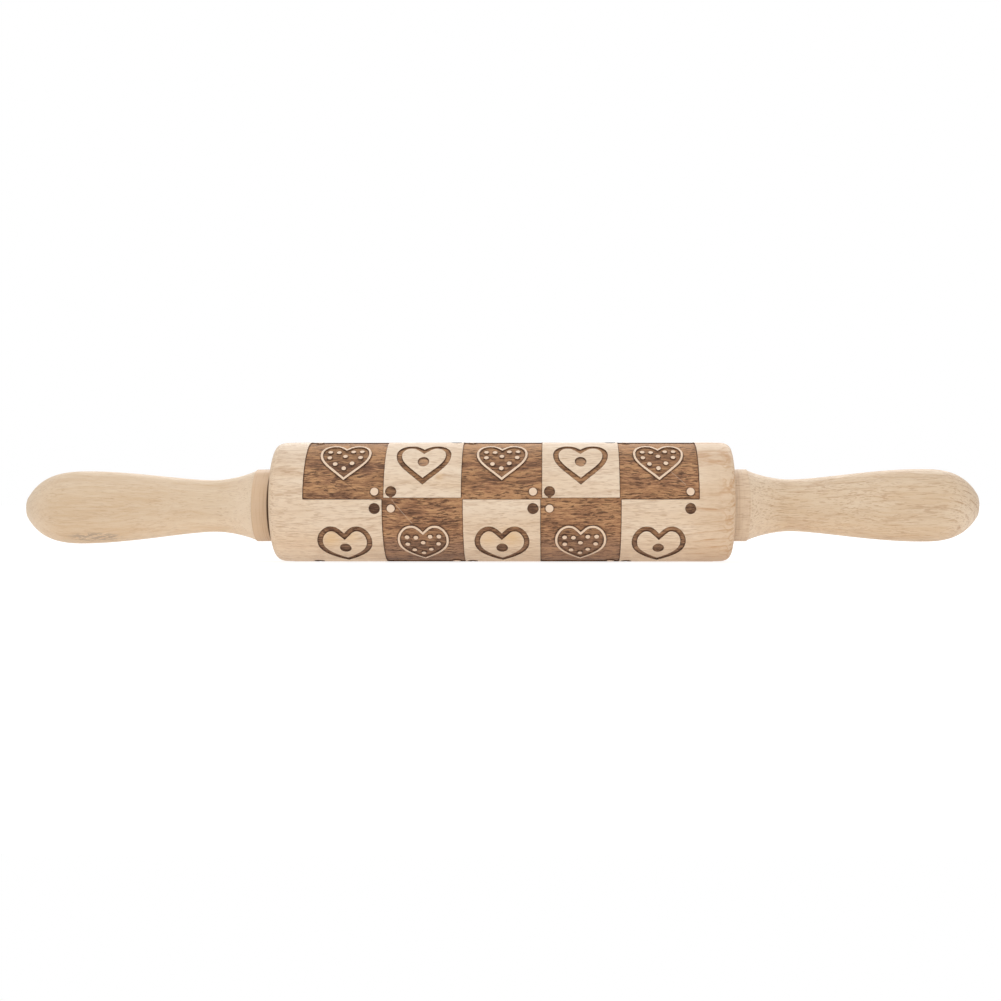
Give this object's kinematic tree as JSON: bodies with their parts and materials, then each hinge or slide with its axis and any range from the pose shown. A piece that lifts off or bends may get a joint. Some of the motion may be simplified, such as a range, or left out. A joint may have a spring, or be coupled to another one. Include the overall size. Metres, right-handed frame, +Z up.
{
  "type": "embossed rolling pin",
  "caption": "Small beech rolling pin with a burned chequer of hearts and dots cut into its roller, which turns freely on an axle between two turned handles.",
  "frame": {"origin": "centre of the pin's length and width, on the surface that the roller rests on", "axes": "+X along the pin from the left handle to the right one, -Y towards the viewer, +Z up"},
  "size_m": [0.3944, 0.0496, 0.0496],
  "materials": {
    "engraved_beech": "fine-sanded beech, burned brown in the engraving",
    "handle_beech": "sanded and lightly oiled",
    "axle_steel": "drawn bright rod",
    "bush_nylon": "natural nylon",
    "washer_steel": "zinc plated"
  },
  "bodies": {
    "handle_set": {"left_handle": "handle_beech", "right_handle": "handle_beech", "axle_rod": "axle_steel", "left_washer": "washer_steel", "right_washer": "washer_steel"},
    "roller_set": {"roller": "engraved_beech", "left_bush": "bush_nylon", "right_bush": "bush_nylon"}
  },
  "joints": [
    {"name": "roller_spin", "type": "hinge", "parent": "handle_set", "child": "roller_set", "pos_m": [0.0008, 0, 0.02479], "axis": [1, 0, 0], "continuous": true}
  ]
}
